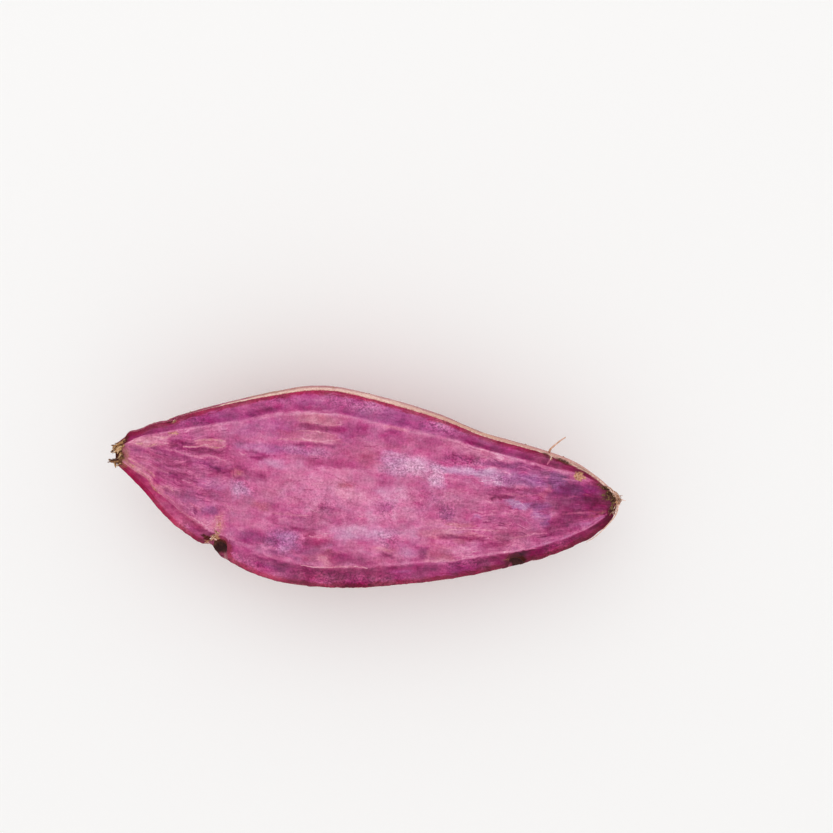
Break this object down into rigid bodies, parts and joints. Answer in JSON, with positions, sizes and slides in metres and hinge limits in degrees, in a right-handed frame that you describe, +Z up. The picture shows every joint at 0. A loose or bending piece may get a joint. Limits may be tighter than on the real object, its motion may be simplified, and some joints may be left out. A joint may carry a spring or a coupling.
{
  "type": "purple sweet potato half",
  "caption": "Half of a purple sweet potato, split lengthwise, lying on its skin with the cut face up.",
  "frame": {"origin": "on the surface that the half rests on, below the middle of its bounding box", "axes": "+Z up, square to the cut face; +X from the stem end to the root end; +Y across the cut face"},
  "size_m": [0.1712, 0.0674, 0.0337],
  "materials": {
    "root": "moist purple cut flesh inside a dry, dusty rose-purple skin"
  },
  "bodies": {
    "root": {"sweet_potato_half": "root"}
  },
  "joints": []
}
